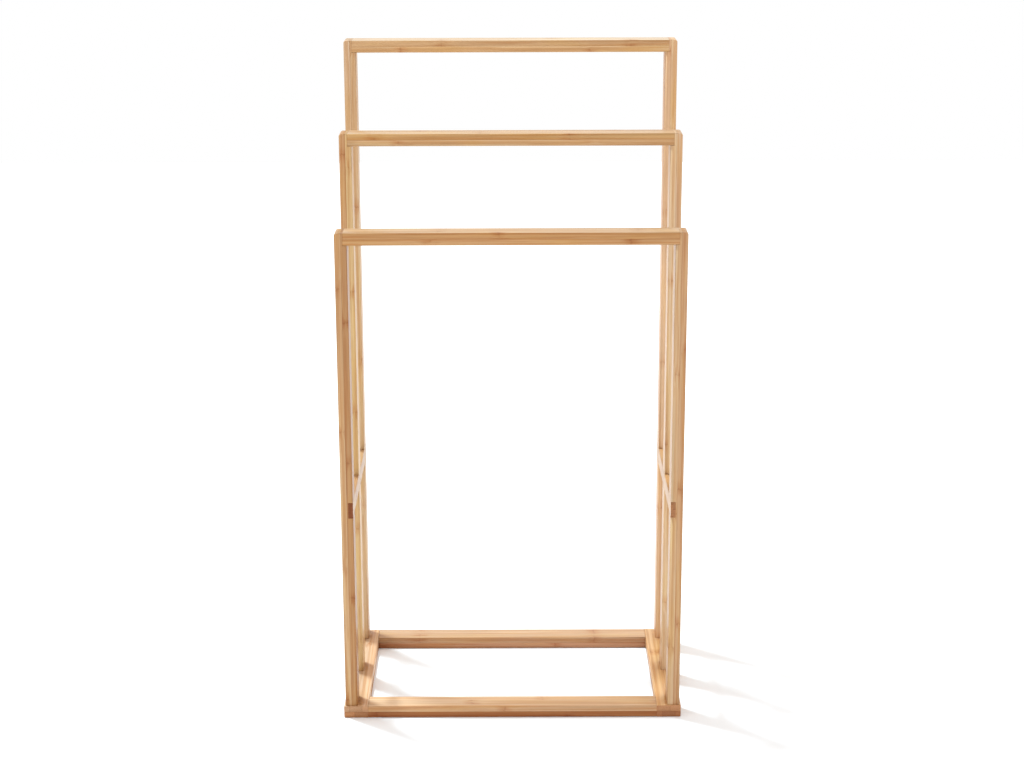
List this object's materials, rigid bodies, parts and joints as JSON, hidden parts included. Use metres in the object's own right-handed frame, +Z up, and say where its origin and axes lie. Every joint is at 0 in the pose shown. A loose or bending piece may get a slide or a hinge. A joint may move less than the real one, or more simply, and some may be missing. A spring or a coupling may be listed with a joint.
{
  "type": "towel rack",
  "caption": "Free-standing stepped towel rack in laminated bamboo: upright frames of rising height with flat top bars on a rectangular base frame, tied by side stretchers.",
  "frame": {"origin": "centre of the base frame's footprint, on the floor", "axes": "+Z up; X along the towel bars; -Y is the front, where the lowest frame stands, and the frames rise towards +Y"},
  "size_m": [0.42, 0.25, 0.815],
  "materials": {
    "base_bamboo": "clear satin varnish over two-ply laminated bamboo",
    "post_bamboo": "clear satin varnish over two-ply laminated bamboo",
    "bar_bamboo": "clear satin varnish over two-ply laminated bamboo",
    "stretcher_bamboo": "clear satin varnish over single-ply bamboo",
    "screw_steel": "zinc-plated, satin",
    "pin_steel": "bright drawn wire",
    "dowel_wood": "plain turned beech"
  },
  "bodies": {
    "root": {"base_front_rail": "base_bamboo", "base_back_rail": "base_bamboo", "base_side_rail_left": "base_bamboo", "base_side_rail_right": "base_bamboo", "post_front_left": "post_bamboo", "post_front_right": "post_bamboo", "post_middle_left": "post_bamboo", "post_middle_right": "post_bamboo", "post_back_left": "post_bamboo", "post_back_right": "post_bamboo", "towel_bar_front": "bar_bamboo", "towel_bar_middle": "bar_bamboo", "towel_bar_back": "bar_bamboo", "side_stretcher_left": "stretcher_bamboo", "side_stretcher_right": "stretcher_bamboo", "towel_bar_screws": "screw_steel", "base_rail_screws": "screw_steel", "post_foot_screws": "screw_steel", "base_rail_dowels": "dowel_wood", "stretcher_pins": "pin_steel"}
  },
  "joints": []
}
